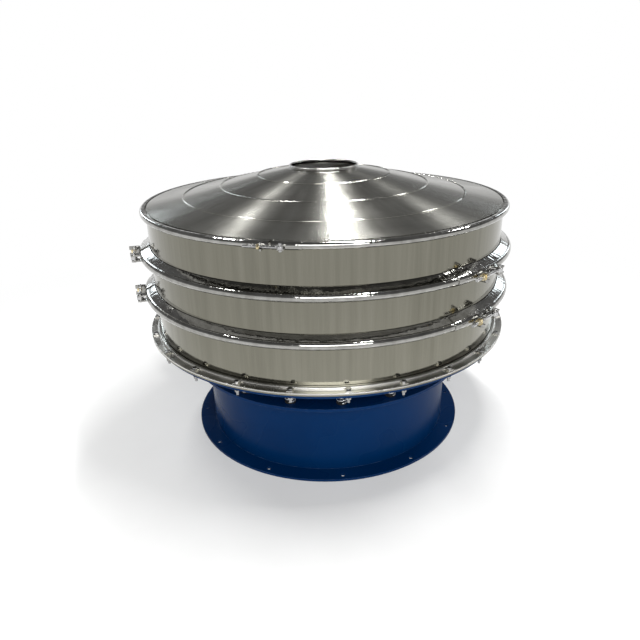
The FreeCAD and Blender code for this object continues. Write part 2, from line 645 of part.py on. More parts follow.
def motor_housing():
    seat = "dish_floor_height - dish_wall"
    barrel = revolve("motor_barrel", [
        ("motor_radius - motor_wall", "motor_bottom"),
        ("motor_radius", "motor_bottom"),
        ("motor_radius", f"{seat} - motor_flange_thickness"),
        ("motor_flange_radius", f"{seat} - motor_flange_thickness"),
        ("motor_flange_radius", seat),
        ("motor_radius", seat),
        ("motor_radius", "motor_top"),
        ("motor_radius - motor_wall", "motor_top"),
    ])
    drill(barrel, "motor_bolt_count", "motor_bolt_circle", "motor_bolt_radius + fit_gap",
          seat, "motor_flange_thickness")
    turned(barrel, "bolt_phase")
    rib = slab("motor_rib", [
        ("motor_radius - motor_wall / 2", "motor_bottom + rib_depth"),
        ("motor_radius + rib_depth", "motor_bottom + 2 * rib_depth"),
        ("motor_radius + rib_depth", f"{seat} - motor_flange_thickness + running_gap"),
        ("motor_radius - motor_wall / 2", f"{seat} - motor_flange_thickness + running_gap"),
    ], "rib_thickness")
    doc.recompute()
    ribs = doc.addObject("Part::Feature", "motor_ribs")
    places = ring_places("rib_count", "0", "bolt_phase")
    ribs.Shape = Part.makeCompound([rib.Shape.transformed(place.toMatrix()) for place in places])
    keep(fuse("motor_housing_solid", [barrel, ribs]), "motor_housing")


def motor_ends():
    """End shields of the motor and the bearings that they hold."""
    places = [Placement(Vector(0, 0, number(height)), Rotation())
              for height in ("motor_top", "motor_bottom - shield_thickness")]
    for label, bore, radius in (
            ("motor_end_shields", "bearing_radius + running_gap", "motor_radius"),
            ("motor_bearings", "shaft_radius + running_gap", "bearing_radius")):
        ring = revolve(label + "_body", [
            (bore, "0"), (radius, "0"), (radius, "shield_thickness"), (bore, "shield_thickness"),
        ])
        copies(label, ring, places)


def motor_stator():
    keep(revolve("stator_body", [
        ("rotor_radius + rotor_air_gap", "core_bottom"),
        ("motor_radius - motor_wall", "core_bottom"),
        ("motor_radius - motor_wall", "core_top"),
        ("rotor_radius + rotor_air_gap", "core_top"),
    ]), "motor_stator")


def motor_shaft():
    keep(revolve("shaft_body", [
        ("0", "shaft_bottom"),
        ("shaft_radius", "shaft_bottom"),
        ("shaft_radius", "core_bottom"),
        ("rotor_radius", "core_bottom"),
        ("rotor_radius", "core_top"),
        ("shaft_radius", "core_top"),
        ("shaft_radius", "shaft_top"),
        ("0", "shaft_top"),
    ]), "motor_shaft")


def weight(label, radius, low, thickness, bore):
    """Eccentric weight: a hub on the shaft with a heavy sector to one side."""
    high = f"{low} + {thickness}"
    hub = revolve(label + "_hub", [
        (bore, low), ("weight_hub_radius", low), ("weight_hub_radius", high), (bore, high),
    ])
    sector = revolve(label + "_sector", [
        ("(shaft_radius + weight_hub_radius) / 2", low), (radius, low),
        (radius, high), ("(shaft_radius + weight_hub_radius) / 2", high),
    ], "weight_sector")
    keep(fuse(label + "_solid", [hub, sector]), label)


def motor_weights():
    weight("upper_weight", "upper_weight_radius", "upper_weight_height",
           "upper_weight_thickness", "shaft_radius")
    weight("lower_fixed_weight", "lower_weight_radius", "lower_weight_height",
           "lower_weight_thickness", "shaft_radius")
    weight("lower_adjustable_weight", "lower_weight_radius",
           "lower_weight_height - phase_weight_thickness - fit_gap",
           "phase_weight_thickness", "shaft_radius + running_gap")


def motor_fasteners():
    """Through bolts of the motor flange, with heads on the dish floor, and their nuts."""
    grip = "dish_wall + motor_flange_thickness"
    head = hexagon("motor_bolt_head", "motor_bolt_head_radius", "motor_bolt_head_height")
    shank = cylinder("motor_bolt_shank", "motor_bolt_radius",
                     f"{grip} + motor_nut_height + motor_bolt_tail",
                     rotation=Rotation(Vector(1, 0, 0), 180))
    bolt = fuse("motor_bolt_solid", [head, shank])
    under = Vector(0, 0, -number(f"{grip} + motor_nut_height"))
    nut = cut("motor_nut_solid",
              hexagon("motor_nut_hexagon", "motor_bolt_head_radius", "motor_nut_height", under),
              cylinder("motor_nut_hole", "motor_bolt_radius + running_gap", "motor_nut_height",
                       under))
    pair = doc.addObject("Part::Compound", "motor_bolt_and_nut")
    pair.Links = [bolt, nut]
    copies("motor_bolts", pair, ring_places("motor_bolt_count", "motor_bolt_circle", "bolt_phase",
                                            "dish_floor_height"))


def terminal_box():
    """Cable box on the side of the motor housing, between two cooling ribs' ends."""
    box = slab("terminal_box_body", [
        ("motor_radius - motor_wall / 2", "core_bottom"),
        ("motor_radius + rib_depth + terminal_box_depth", "core_bottom"),
        ("motor_radius + rib_depth + terminal_box_depth", "core_bottom + terminal_box_height"),
        ("motor_radius - motor_wall / 2", "core_bottom + terminal_box_height"),
    ], "terminal_box_width")
    turned(box, "gland_angle")
    clear = cylinder("terminal_box_clear", "motor_radius + rib_depth + fit_gap",
                     "core_top")
    keep(cut("terminal_box_cut", box, clear), "motor_terminal_box")


# ---------------------------------------------------------------- sieve frames and spouts

def frame_outline(low, low_flange, low_thick, high, high_flange, high_thick):
    """Section of a sieve frame: a thin shell with a flange turned out at each end."""
    inside = "shell_radius - shell_wall"
    return [
        (inside, low),
        (low_flange, low),
        (low_flange, f"{low} + {low_thick}"),
        ("shell_radius", f"{low} + {low_thick}"),
        ("shell_radius", f"{high} - {high_thick}"),
        (high_flange, f"{high} - {high_thick}"),
        (high_flange, high),
        (inside, high),
    ]


def spout(level):
    """Discharge spout of one level; returns the tool that opens the frame's shell for it."""
    low, high = f"{level}_spout_bottom", f"{level}_spout_top"
    angle = f"{level}_spout_angle"
    start = "shell_radius - spout_overrun"

    def duct(name, inset, width, first=start, last="spout_reach"):
        return turned(slab(f"{level}_{name}", [
            (first, f"{low} + ({inset})"),
            (last, f"{low} + ({inset})"),
            (last, f"{high} - ({inset})"),
            (first, f"{high} - ({inset})"),
        ], width), angle)

    outer = duct("spout_outer", "0.0", "spout_width")
    lip = duct("spout_lip_plate", "-spout_lip", "spout_width + 2 * spout_lip",
               "spout_reach - spout_lip_thickness")
    inner = duct("spout_inner", "spout_wall", "spout_width - 2 * spout_wall",
                 last="spout_reach + spout_lip")
    shell = cylinder(f"{level}_spout_clear", "shell_radius + fit_gap", f"{high} + spout_lip")
    tools = fuse(f"{level}_spout_tools", [inner, shell])
    keep(cut(f"{level}_spout_cut", fuse(f"{level}_spout_solid", [outer, lip]), tools),
         f"{level}_spout")
    return duct("opening", "spout_wall", "spout_width - 2 * spout_wall",
                last="shell_radius + spout_wall")


def frame_pieces():
    clamped = ("frame_flange_radius", "frame_flange_thickness")
    lower = revolve("lower_frame_body", frame_outline(
        "table_height", "hoop_radius", "bottom_flange_thickness",
        "lower_joint_height - joint_half_gap", *clamped))
    drill(lower, "flange_bolt_count", "flange_bolt_circle", "flange_bolt_radius + fit_gap",
          "table_height + bottom_flange_thickness", "bottom_flange_thickness")
    turned(lower, "bolt_phase")
    middle = revolve("middle_frame_body", frame_outline(
        "lower_joint_height + joint_half_gap", *clamped,
        "upper_joint_height - joint_half_gap", *clamped))
    upper = revolve("upper_frame_body", frame_outline(
        "upper_joint_height + joint_half_gap", *clamped,
        "rim_height - rim_half_gap", "rim_radius", "rim_flange_thickness"))
    for level, body in (("lower", lower), ("middle", middle), ("upper", upper)):
        keep(cut(f"{level}_frame_cut", body, spout(level)), f"{level}_frame")


def bottom_dome():
    """Shallow dome over the motor that sheds the finest grade to its spout."""
    edge = "shell_radius - shell_wall"
    keep(revolve("dome_body", [
        ("0", "dome_centre_height - dome_wall"),
        ("dome_crown_radius", "dome_centre_height - dome_wall"),
        (edge, "dome_edge_height - dome_wall"),
        (edge, "dome_edge_height"),
        ("dome_crown_radius", "dome_centre_height"),
        ("0", "dome_centre_height"),
    ]), "bottom_dome")


# ---------------------------------------------------------------- bolted flange

def flange_pieces():
    hoop_base = "table_height + bottom_flange_thickness"
    hoop_top = f"{hoop_base} + hoop_thickness"
    rib_edge = "hoop_bore + hoop_rib_width"
    hoop = revolve("flange_hoop_body", [
        ("hoop_bore", hoop_base),
        ("hoop_radius", hoop_base),
        ("hoop_radius", f"{hoop_top} - hoop_edge_radius", "hoop_edge_radius"),
        ("hoop_radius - hoop_edge_radius", hoop_top),
        (rib_edge, hoop_top),
        (rib_edge, f"{hoop_top} + hoop_rib_height - hoop_rib_round", "hoop_rib_round"),
        (f"{rib_edge} - hoop_rib_round", f"{hoop_top} + hoop_rib_height"),
        ("hoop_bore", f"{hoop_top} + hoop_rib_height"),
    ])
    drill(hoop, "flange_bolt_count", "flange_bolt_circle", "flange_bolt_radius + fit_gap",
          hoop_top, "hoop_thickness")
    keep(turned(hoop, "bolt_phase"), "flange_hoop")

    places = ("flange_bolt_count", "flange_bolt_circle", "bolt_phase")
    plate = slab("clip_plate", [
        ("clip_inner_radius", hoop_top),
        ("clip_outer_radius", hoop_top),
        ("clip_outer_radius", f"{hoop_top} + clip_thickness"),
        ("clip_inner_radius", f"{hoop_top} + clip_thickness"),
    ], "clip_width")
    hole = cylinder("clip_hole", "flange_bolt_radius + fit_gap", f"{hoop_top} + 2 * clip_thickness",
                    Vector(number("flange_bolt_circle"), 0, 0))
    copies("flange_clips", cut("clip_solid", plate, hole),
           ring_places("flange_bolt_count", "0", "bolt_phase"))

    grip = "clip_thickness + hoop_thickness + bottom_flange_thickness + table_thickness"
    head = hexagon("flange_bolt_head", "flange_head_radius", "flange_head_height")
    shank = cylinder("flange_bolt_shank", "flange_bolt_radius",
                     f"{grip} + flange_nut_height + flange_bolt_tail",
                     rotation=Rotation(Vector(1, 0, 0), 180))
    copies("flange_bolts", fuse("flange_bolt_solid", [head, shank]),
           ring_places(*places, f"{hoop_top} + clip_thickness"))
    nut = cut("flange_nut_solid",
              hexagon("flange_nut_hexagon", "flange_head_radius", "flange_nut_height"),
              cylinder("flange_nut_hole", "flange_bolt_radius + running_gap", "flange_nut_height"))
    copies("flange_nuts", nut,
           ring_places(*places, "table_height - table_thickness - flange_nut_height"))


# ---------------------------------------------------------------- screens

def screen_pieces(level):
    """Tensioned screen of one joint: its ring, its cloth and its U-section seal."""
    middle = f"{level}_joint_height"
    lip_low = f"{middle} - screen_plate"
    hoop_inner = "screen_hoop_radius - screen_plate"
    hoop_low = f"{middle} - screen_drop"
    keep(revolve(f"{level}_screen_ring_body", [
        (hoop_inner, hoop_low),
        ("screen_hoop_radius", hoop_low),
        ("screen_hoop_radius", lip_low),
        ("screen_lip_radius", lip_low),
        ("screen_lip_radius", middle),
        (hoop_inner, middle),
    ]), f"{level}_screen_ring")
    keep(revolve(f"{level}_mesh_body", [
        ("0", f"{hoop_low} - mesh_thickness"),
        ("screen_hoop_radius", f"{hoop_low} - mesh_thickness"),
        ("screen_hoop_radius", hoop_low),
        ("0", hoop_low),
    ]), f"{level}_screen_mesh")
    keep(revolve(f"{level}_seal_body", [
        ("seal_bore", f"{middle} - joint_half_gap"),
        ("seal_radius", f"{middle} - joint_half_gap"),
        ("seal_radius", f"{middle} + joint_half_gap"),
        ("seal_bore", f"{middle} + joint_half_gap"),
        ("seal_bore", middle),
        ("screen_lip_radius", middle),
        ("screen_lip_radius", lip_low),
        ("seal_bore", lip_low),
    ]), f"{level}_screen_seal")


# ---------------------------------------------------------------- clamp bands

def round_back(middle, bore, half, shoulder, shoulder_half, nose):
    """Outer side of a clamping section: two shoulders joined by one arc through the nose."""
    rise = f"({nose} - ({shoulder}))"
    curve = f"(({shoulder_half}) ^ 2 + {rise} ^ 2) / (2 * {rise})"
    return [
        (bore, f"{middle} - ({half})"),
        (shoulder, f"{middle} - ({shoulder_half})", curve),
        (shoulder, f"{middle} + {shoulder_half}"),
        (bore, f"{middle} + {half}"),
    ]


def band_outline(middle, grow="0.0"):
    """Hollow V section of a clamp band that squeezes the two flanges of a joint."""
    stack = "joint_half_gap + frame_flange_thickness + fit_gap"
    return round_back(middle, "band_bore", f"band_half_height + {grow}",
                      f"band_shoulder_radius + {grow}", f"band_shoulder_half_height + {grow}",
                      f"band_nose_radius + {grow}") + [
        ("band_bore", f"{middle} + band_half_height - band_wall"),
        ("frame_flange_radius + fit_gap", f"{middle} + {stack}"),
        ("band_groove_radius", f"{middle} + joint_half_gap"),
        ("band_groove_radius", f"{middle} - joint_half_gap"),
        ("frame_flange_radius + fit_gap", f"{middle} - ({stack})"),
        ("band_bore", f"{middle} - band_half_height + band_wall"),
    ]


def spot(line, along, height):
    """A point of a closure: line is its distance out, along its place past the middle."""
    return Vector(number(line), number(along), number(height))


def slotted_lug(name, sizes, middle):
    """Lug that the swing bolt drops into, open outwards, its face curved round the bolt's pin."""
    plate = block(name + "_plate", f"{sizes['reach']} - {sizes['root']}", sizes["lug"],
                  f"2 * {sizes['half']}",
                  spot(sizes["root"], f"-({sizes['offset']} + {sizes['lug']})",
                       f"{middle} - {sizes['half']}"))
    slot_half = f"{sizes['shank']} + slot_clearance"
    slot = block(name + "_slot", f"{sizes['reach']} - {sizes['line']} + {slot_half}",
                 f"3 * {sizes['lug']}", f"2 * ({slot_half})",
                 spot(f"{sizes['line']} - {sizes['shank']} - slot_clearance",
                      f"-({sizes['offset']} + 2 * {sizes['lug']})", f"{middle} - ({slot_half})"))
    swing = cylinder(name + "_swing", f"{sizes['pin_offset']} + {sizes['offset']} + {sizes['lug']}",
                     f"2 * {sizes['half']}",
                     spot(sizes["line"], sizes["pin_offset"], f"{middle} - {sizes['half']}"))
    face = doc.addObject("Part::Common", name + "_face")
    face.Base = plate
    face.Tool = swing
    return cut(name + "_lug", face, slot)


def clevis(name, sizes, middle):
    """Two plates that hold the swing bolt's pin."""
    plates = []
    for side, low in (("upper", f"{middle} + {sizes['eye_height']} / 2 + fit_gap"),
                      ("lower", f"{middle} - {sizes['eye_height']} / 2 - fit_gap - {sizes['clevis']}")):
        plates.append(block(f"{name}_{side}_plate", f"{sizes['reach']} - {sizes['clevis_root']}",
                            sizes["clevis_width"], sizes["clevis"],
                            spot(sizes["clevis_root"],
                                 f"{sizes['pin_offset']} - {sizes['clevis_width']} / 2", low)))
    hole = cylinder(name + "_pin_hole", f"{sizes['pin']} + running_gap", f"4 * {sizes['half']}",
                    spot(sizes["line"], sizes["pin_offset"], f"{middle} - 2 * {sizes['half']}"))
    return cut(name + "_clevis", fuse(name + "_plates", plates), hole)


def swing_bolt(label, sizes, middle, angle):
    """Eye bolt lying along the closure, with its nut and washer behind the slotted lug."""
    backwards = Rotation(Vector(1, 0, 0), 90)
    shank = cylinder(label + "_shank", sizes["shank"], sizes["length"],
                     spot(sizes["line"], sizes["pin_offset"], middle), backwards)
    eye = cylinder(label + "_eye", sizes["eye"], sizes["eye_height"],
                   spot(sizes["line"], sizes["pin_offset"], f"{middle} - {sizes['eye_height']} / 2"))
    hole = cylinder(label + "_hole", f"{sizes['pin']} + running_gap", f"2 * {sizes['eye_height']}",
                    spot(sizes["line"], sizes["pin_offset"], f"{middle} - {sizes['eye_height']}"))
    bolt = cut(label + "_solid", fuse(label + "_fused", [shank, eye]), hole)
    keep(turned(bolt, angle), label)

    face = f"-({sizes['offset']} + {sizes['lug']} + fit_gap)"
    washer = cylinder(label + "_washer", sizes["washer_radius"], sizes["washer"],
                      spot(sizes["line"], face, middle), backwards)
    nut = hexagon(label + "_nut_hexagon", sizes["nut"], f"{sizes['nut_height']} + {sizes['washer']}",
                  spot(sizes["line"], face, middle), backwards)
    thread = cylinder(label + "_nut_hole", f"{sizes['shank']} + running_gap",
                      f"2 * {sizes['nut_height']} + {sizes['washer']}",
                      spot(sizes["line"], face, middle), backwards)
    nut_solid = cut(label + "_nut_solid", fuse(label + "_nut_fused", [washer, nut]), thread)
    keep(turned(nut_solid, angle), label.replace("bolt", "nut"))


def hinge_pin(name, sizes, middle):
    """Pin of a clevis with a head at each end."""
    span = f"{sizes['eye_height']} + 2 * ({sizes['clevis']} + fit_gap)"
    low = f"{middle} - ({span}) / 2"
    pin = cylinder(name + "_pin", sizes["pin"], f"{span} + 2 * pin_head_height",
                   spot(sizes["line"], sizes["pin_offset"], f"{low} - pin_head_height"))
    heads = [cylinder(f"{name}_head_{place}", sizes["pin_head"], "pin_head_height",
                      spot(sizes["line"], sizes["pin_offset"], height))
             for place, height in (("low", f"{low} - pin_head_height"), ("high", f"{low} + {span}"))]
    return fuse(name + "_pin_solid", [pin] + heads)


BAND_CLOSURE = {
    "line": "swing_line_radius", "pin_offset": "swing_pin_offset", "shank": "swing_bolt_radius",
    "length": "swing_bolt_length", "eye": "eye_radius", "eye_height": "eye_height",
    "pin": "swing_pin_radius", "reach": "lug_reach", "half": "lug_half_height",
    "lug": "lug_thickness", "offset": "lug_offset", "clevis": "clevis_thickness",
    "clevis_width": "clevis_width", "nut": "nut_radius", "nut_height": "nut_height",
    "washer": "washer_thickness", "washer_radius": "washer_radius",
    "pin_head": "pin_head_radius", "root": "band_nose_radius - band_wall",
    "clevis_root": "band_nose_radius - 2 * band_wall",
}
COVER_CLOSURE = {
    "line": "cover_swing_line", "pin_offset": "cover_pin_offset", "shank": "cover_swing_radius",
    "length": "cover_swing_length", "eye": "cover_eye_radius", "eye_height": "cover_eye_height",
    "pin": "cover_pin_radius", "reach": "cover_lug_reach", "half": "cover_lug_half_height",
    "lug": "cover_lug_thickness", "offset": "cover_lug_offset",
    "clevis": "cover_clevis_thickness", "clevis_width": "cover_clevis_width",
    "nut": "cover_nut_radius", "nut_height": "cover_nut_height",
    "washer": "cover_washer_thickness", "washer_radius": "cover_washer_radius",
    "pin_head": "cover_pin_head_radius", "root": "cover_hoop_radius - cover_hoop_wall",
    "clevis_root": "cover_hoop_radius - 2 * cover_hoop_wall",
}


def band_segment(level, index):
    """One segment of a clamp band, from one closure to the next, with its two lugs."""
    middle = f"{level}_joint_height"
    name = f"{level}_band_{index + 1}"
    step = "360 / band_segments"
    half_gap_angle = "band_end_gap / 2 / band_nose_radius * 180 / pi"
    centre = f"closure_phase + {step} * ({index} + 0.5)"
    body = revolve(name + "_body", band_outline(middle), f"{step} - 2 * {half_gap_angle}")
    turned(body, centre)
    sleeve = revolve(name + "_sleeve", band_outline(middle, "sleeve_thickness"),
                     f"sleeve_angle - {half_gap_angle}")
    turned(sleeve, f"closure_phase + {step} * ({index} + 1) - (sleeve_angle + {half_gap_angle}) / 2")
    lug = turned(slotted_lug(name, BAND_CLOSURE, middle), f"closure_phase + {step} * ({index} + 1)")
    ears = turned(clevis(name, BAND_CLOSURE, middle), f"closure_phase + {step} * {index}")
    keep(fuse(name + "_solid", [body, sleeve, lug, ears]), name)


def band_pieces(level):
    total = int(number("band_segments"))
    middle = f"{level}_joint_height"
    for index in range(total):
        band_segment(level, index)
        swing_bolt(f"{level}_swing_bolt_{index + 1}", BAND_CLOSURE, middle,
                   f"closure_phase + 360 / band_segments * {index}")


def band_pins():
    """Hinge pins of all the band closures."""
    places = ring_places("band_segments", "0", "closure_phase")
    drop = number("lower_joint_height") - number("upper_joint_height")
    lower = [Placement(Vector(0, 0, drop), Rotation()).multiply(place) for place in places]
    copies("band_hinge_pins", hinge_pin("band", BAND_CLOSURE, "upper_joint_height"), places + lower)


# ---------------------------------------------------------------- cover

def cover_cone():
    """Cover of four shallow cones with a bead on each crease and a rim to clamp."""
    crease = [("collar_foot_radius", "collar_foot_height"),
              ("inner_bead_radius", "inner_bead_height"),
              ("middle_bead_radius", "middle_bead_height"),
              ("outer_bead_radius", "outer_bead_height"),
              ("cover_edge_radius", "cover_edge_height")]
    rim_low = "rim_height + rim_half_gap"
    rim_high = f"{rim_low} + rim_flange_thickness"
    top = [("inlet_bore_radius", "collar_foot_height")] + crease
    rim = [("cover_edge_radius", rim_high), ("rim_radius", rim_high), ("rim_radius", rim_low),
           ("cover_edge_radius - cover_plate", rim_low),
           ("cover_edge_radius - cover_plate", "cover_edge_height - cover_plate")]
    under = [(radius, f"{height} - cover_plate") for radius, height in reversed(crease[:-1])]
    cone = revolve("cover_sheet", top + rim + under
                   + [("inlet_bore_radius", "collar_foot_height - cover_plate")])
    beads = []
    for place, (radius, height) in zip(("inner", "middle", "outer"), crease[1:-1]):
        bead = doc.addObject("Part::Torus", f"{place}_bead")
        bead.Placement = Placement(Vector(0, 0, number(f"{height} - bead_sink")), Rotation())
        bind(bead, Radius1=radius, Radius2="bead_size")
        beads.append(bead)
    keep(fuse("cover_solid", [cone] + beads), "cover_cone")


def inlet_collar():
    """Short feed collar with a rolled lip, standing on the cover."""
    outer = "inlet_bore_radius + inlet_wall"
    tube = revolve("collar_tube", [
        ("inlet_bore_radius", "collar_foot_height"),
        ("collar_foot_radius", "collar_foot_height"),
        (outer, "collar_foot_height + inlet_wall"),
        (outer, "inlet_top - inlet_lip_radius"),
        ("inlet_bore_radius", "inlet_top - inlet_lip_radius"),
    ])
    lip = doc.addObject("Part::Torus", "collar_lip")
    lip.Placement = Placement(Vector(0, 0, number("inlet_top - inlet_lip_radius")), Rotation())
    bind(lip, Radius1="inlet_bore_radius + inlet_wall", Radius2="inlet_lip_radius")
    keep(fuse("collar_solid", [tube, lip]), "inlet_collar")


def cover_seal():
    low, high = "rim_height - rim_half_gap", "rim_height + rim_half_gap"
    keep(revolve("cover_seal_body", [
        ("shell_radius - shell_wall", low), ("rim_radius", low),
        ("rim_radius", high), ("shell_radius - shell_wall", high),
    ]), "cover_seal")


def cover_hoop_outline(grow="0.0"):
    """Round-backed section that squeezes the cover's rim and the upper frame's rim."""
    stack = "rim_half_gap + rim_flange_thickness + fit_gap"
    return round_back("rim_height", "cover_hoop_bore", f"cover_hoop_half_height + {grow}",
                      f"cover_hoop_back_radius + {grow}", f"cover_hoop_back_half + {grow}",
                      f"cover_hoop_radius + {grow}") + [
        ("cover_hoop_bore", "rim_height + cover_hoop_half_height - cover_hoop_wall"),
        ("rim_radius + fit_gap", f"rim_height + {stack}"),
        ("rim_radius + fit_gap", f"rim_height - ({stack})"),
        ("cover_hoop_bore", "rim_height - cover_hoop_half_height + cover_hoop_wall"),
    ]


def cover_hoop():
    """Hoop that holds the cover's rim on the upper frame, with its closure."""
    degrees = "180 / pi / cover_hoop_radius"
    hoop = revolve("cover_hoop_body", cover_hoop_outline(), f"360 - cover_end_gap * {degrees}")
    turned(hoop, "cover_closure_angle + 180")
    parts = [hoop]
    for end, length, side in (("lug", "lug_sleeve_length", "-"),
                              ("clevis", "clevis_sleeve_length", "+")):
        sleeve = revolve(f"cover_{end}_sleeve", cover_hoop_outline("cover_sleeve_thickness"),
                         f"{length} * {degrees}")
        middle = f"({length} + cover_end_gap) / 2 * {degrees}"
        parts.append(turned(sleeve, f"cover_closure_angle {side} {middle}"))
    parts.append(turned(slotted_lug("cover", COVER_CLOSURE, "rim_height"), "cover_closure_angle"))
    parts.append(turned(clevis("cover", COVER_CLOSURE, "rim_height"), "cover_closure_angle"))
    keep(fuse("cover_hoop_solid", parts), "cover_hoop")
    swing_bolt("cover_swing_bolt", COVER_CLOSURE, "rim_height", "cover_closure_angle")
    keep(turned(hinge_pin("cover", COVER_CLOSURE, "rim_height"), "cover_closure_angle"),
         "cover_hinge_pin")


# ---------------------------------------------------------------- build, check, write

def build():
    base_pieces()
    spring_pieces()
    table_pieces()
    motor_housing()
    motor_ends()
    motor_stator()
    motor_shaft()
    motor_weights()
    motor_fasteners()
    terminal_box()
    frame_pieces()
    bottom_dome()
    flange_pieces()
    for level in ("lower", "upper"):
        screen_pieces(level)
        band_pieces(level)
    band_pins()
    cover_cone()
    inlet_collar()
    cover_seal()
    cover_hoop()
    doc.recompute()


def check():
    broken = [item.Name for item in doc.Objects
              if "Invalid" in item.State or "Error" in item.State]
    if broken:
        raise RuntimeError(f"objects failed: {broken}")
    for item in nodes:
        if item.Shape.isNull() or not item.Shape.isValid() or not item.Shape.Solids:
            raise RuntimeError(f"bad shape: {item.Label}")


def write():
    os.makedirs("parts", exist_ok=True)
    for item in nodes:
        item.Shape.exportStep(os.path.join("parts", item.Label + ".step"))
        print(f"{item.Label}: {len(item.Shape.Solids)} solids, {item.Shape.Volume / 1000:.1f} cm3")
    print(len(nodes), "nodes")


build()
check()
write()
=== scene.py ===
import json
import math

import bpy
from mathutils import Matrix, Vector


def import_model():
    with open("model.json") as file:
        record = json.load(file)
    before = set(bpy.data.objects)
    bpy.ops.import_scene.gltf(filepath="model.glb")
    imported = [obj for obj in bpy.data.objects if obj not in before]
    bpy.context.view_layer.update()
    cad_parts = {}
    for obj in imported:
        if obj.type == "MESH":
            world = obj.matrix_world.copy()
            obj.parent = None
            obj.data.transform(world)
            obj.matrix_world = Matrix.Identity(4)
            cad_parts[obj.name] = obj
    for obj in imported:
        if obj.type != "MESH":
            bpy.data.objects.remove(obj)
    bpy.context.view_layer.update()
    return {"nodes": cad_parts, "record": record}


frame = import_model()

NODES = frame["nodes"]


# ---------------------------------------------------------------- node helpers

class Shader:
    """A material with a Principled BSDF and short ways to add nodes to it."""

    def __init__(self, name, **values):
        self.material = bpy.data.materials.new(name)
        self.material.use_nodes = True
        self.tree = self.material.node_tree
        self.bsdf = self.tree.nodes["Principled BSDF"]
        for socket, value in values.items():
            self.bsdf.inputs[socket.replace("_", " ")].default_value = value

    def node(self, kind, **settings):
        item = self.tree.nodes.new(kind)
        for key, value in settings.items():
            setattr(item, key, value)
        return item

    def link(self, source, target):
        self.tree.links.new(source, target)

    def put(self, item, index, value):
        """Set an input to a number, a vector or another node's output."""
        if isinstance(value, bpy.types.NodeSocket):
            self.link(value, item.inputs[index])
        else:
            item.inputs[index].default_value = value
        return item

    def math(self, operation, first, second=0.0):
        item = self.node("ShaderNodeMath", operation=operation)
        self.put(item, 0, first)
        self.put(item, 1, second)
        return item.outputs[0]

    def vector(self, operation, first, second=(0, 0, 0)):
        item = self.node("ShaderNodeVectorMath", operation=operation)
        self.put(item, 0, first)
        self.put(item, 1, second)
        return item.outputs[0]

    def place(self):
        """Where a point of the surface is in the part's own frame."""
        return self.node("ShaderNodeTexCoord").outputs["Object"]

    def noise(self, where, scale, detail=3.0, roughness=0.55):
        item = self.node("ShaderNodeTexNoise")
        self.put(item, "Vector", where)
        self.put(item, "Scale", scale)
        self.put(item, "Detail", detail)
        self.put(item, "Roughness", roughness)
        return item.outputs["Fac"]

    def ramp(self, value, stops):
        """Colour ramp through (place, colour) stops; a single number stands for a grey."""
        item = self.node("ShaderNodeValToRGB")
        self.link(value, item.inputs[0])
        elements = item.color_ramp.elements
        while len(elements) < len(stops):
            elements.new(0.5)
        for element, (place, colour) in zip(elements, stops):
            shade = colour if isinstance(colour, tuple) else (colour,) * 3
            element.position = place
            element.color = (*shade, 1)
        return item.outputs[0]

    def mix(self, factor, first, second, blend="MIX"):
        item = self.node("ShaderNodeMix", data_type="RGBA", blend_type=blend)
        self.put(item, 0, factor)
        self.put(item, 6, first)
        self.put(item, 7, second)
        return item.outputs[2]

    def bump(self, height, strength, distance):
        item = self.node("ShaderNodeBump")
        self.put(item, "Height", height)
        self.put(item, "Strength", strength)
        self.put(item, "Distance", distance)
        return item

    def soft_edges(self, radius, bump=None):
        """Rounded look on sharp edges, under an optional bump."""
        item = self.node("ShaderNodeBevel", samples=4)
        self.put(item, "Radius", radius)
        if bump is None:
            self.link(item.outputs[0], self.bsdf.inputs["Normal"])
        else:
            self.link(item.outputs[0], bump.inputs["Normal"])
            self.link(bump.outputs[0], self.bsdf.inputs["Normal"])

    def edges(self, radius, low, high):
        """Mask of the edges: where a rounded edge's normal leaves the face's own normal."""
        rounded = self.node("ShaderNodeBevel", samples=6)
        self.put(rounded, "Radius", radius)
        face = self.node("ShaderNodeNewGeometry").outputs["Normal"]
        same = self.node("ShaderNodeVectorMath", operation="DOT_PRODUCT")
        self.link(rounded.outputs[0], same.inputs[0])
        self.link(face, same.inputs[1])
        return self.ramp(self.math("SUBTRACT", 1.0, same.outputs["Value"]),
                         [(low, 0.0), (high, 1.0)])

    def hoop_tangent(self):
        """Direction round the machine's axis, along which the metal was brushed."""
        around = self.vector("CROSS_PRODUCT", (0, 0, 1), self.place())
        self.link(self.vector("NORMALIZE", around), self.bsdf.inputs["Tangent"])

    def round_coordinates(self, along, outwards, upwards):
        """Seamless coordinates round the axis, stretched by the given scales."""
        place = self.place()
        flat = self.vector("MULTIPLY", place, (1, 1, 0))
        length = self.node("ShaderNodeVectorMath", operation="LENGTH")
        self.link(flat, length.inputs[0])
        turn = self.vector("NORMALIZE", flat)
        turn = self.vector("MULTIPLY", turn, (along, along, along))
        split = self.node("ShaderNodeSeparateXYZ")
        self.link(place, split.inputs[0])
        high = self.math("MULTIPLY", split.outputs[2], upwards)
        far = self.math("MULTIPLY", length.outputs["Value"], outwards)
        lift = self.node("ShaderNodeCombineXYZ")
        self.link(self.math("ADD", high, far), lift.inputs[2])
        return self.vector("ADD", turn, lift.outputs[0])


# ---------------------------------------------------------------- metals

